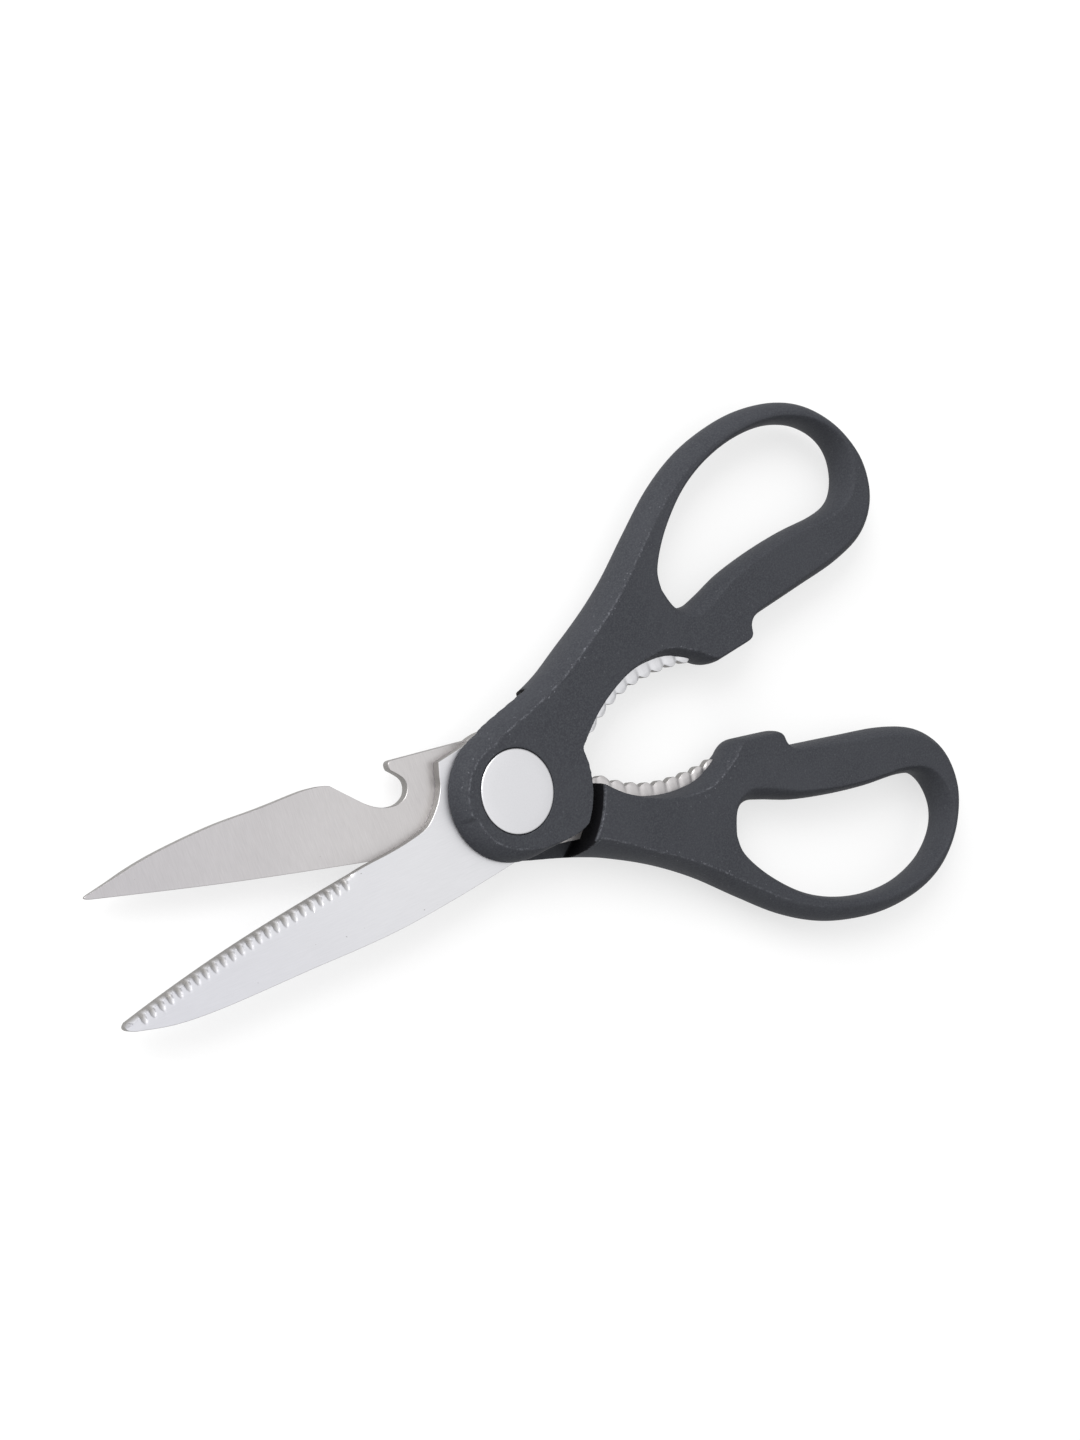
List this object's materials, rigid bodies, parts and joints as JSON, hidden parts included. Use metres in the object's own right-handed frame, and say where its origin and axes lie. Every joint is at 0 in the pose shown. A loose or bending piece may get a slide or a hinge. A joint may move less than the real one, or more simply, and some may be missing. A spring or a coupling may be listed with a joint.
{
  "type": "poultry shears",
  "caption": "Poultry shears with a serrated blade, a plain blade with bottle-opener hook, nutcracker teeth between the looped plastic handles and a single screw pivot.",
  "frame": {"origin": "on the pivot axis, at the outer face of the rear cover disc, which is the face that the shears lie on", "axes": "+Z along the pivot axis towards the front cover disc, +X from the blade tips towards the handles along the line that halves the opening, +Y towards the handle of the serrated blade"},
  "size_m": [0.2129, 0.117, 0.0132],
  "materials": {
    "handle": "fine matte texture",
    "blade": "satin ground",
    "cover_disc": "satin",
    "fastener": "plain"
  },
  "bodies": {
    "half_upper": {"handle_upper": "handle", "blade_serrated": "blade", "cap_front": "cover_disc", "pivot_screw": "fastener", "pivot_nut": "fastener", "washer": "fastener"},
    "half_lower": {"handle_lower": "handle", "blade_opener": "blade", "cap_rear": "cover_disc"}
  },
  "joints": [
    {"name": "pivot", "type": "hinge", "parent": "half_upper", "child": "half_lower", "pos_m": [0, 0, 0.0066], "axis": [0, 0, -1], "range_deg": [-16.1, 50]}
  ]
}
